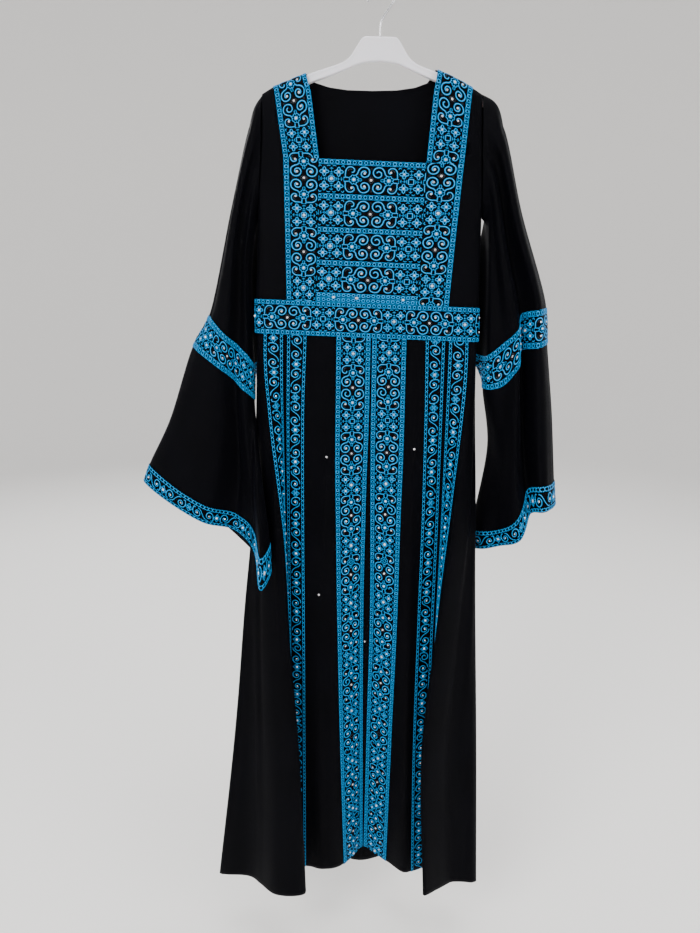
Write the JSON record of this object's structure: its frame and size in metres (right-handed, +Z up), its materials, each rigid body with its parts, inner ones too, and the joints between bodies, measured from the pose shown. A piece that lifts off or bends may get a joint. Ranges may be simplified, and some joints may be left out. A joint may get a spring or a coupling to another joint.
{
  "type": "palestinian thobe dress on a hanger",
  "caption": "Long black dress with a square neck, bell sleeves and wide blue embroidered trims, hanging on a white plastic hanger.",
  "frame": {"origin": "inner top of the hanger's hook, where it bears on what it hangs from", "axes": "+Z up; the front of the dress faces -Y; +X to the right of somebody looking at the front"},
  "size_m": [0.7498, 0.1839, 1.683],
  "materials": {
    "black_crepe": "matte crepe",
    "blue_embroidery": "satin thread on black cloth",
    "white_plastic": "glossy",
    "hook_steel": "plated wire"
  },
  "bodies": {
    "root": {"bodice_front": "black_crepe", "bodice_back": "black_crepe", "skirt_front": "black_crepe", "skirt_gore_left": "black_crepe", "skirt_gore_right": "black_crepe", "skirt_back": "black_crepe", "sleeve_upper_left": "black_crepe", "sleeve_upper_right": "black_crepe", "sleeve_flare_left": "black_crepe", "sleeve_flare_right": "black_crepe", "strap_left": "blue_embroidery", "strap_right": "blue_embroidery", "chest_row_1": "blue_embroidery", "chest_row_2": "blue_embroidery", "chest_row_3": "blue_embroidery", "chest_row_4": "blue_embroidery", "chest_border": "blue_embroidery", "waist_band": "blue_embroidery", "centre_strip_left": "blue_embroidery", "centre_strip_right": "blue_embroidery", "side_strip_inner_left": "blue_embroidery", "side_strip_inner_right": "blue_embroidery", "side_strip_outer_left": "blue_embroidery", "side_strip_outer_right": "blue_embroidery", "sleeve_band_left": "blue_embroidery", "sleeve_band_right": "blue_embroidery", "sleeve_hem_left": "blue_embroidery", "sleeve_hem_right": "blue_embroidery", "hanger_body": "white_plastic", "hanger_hook": "hook_steel"}
  },
  "joints": []
}
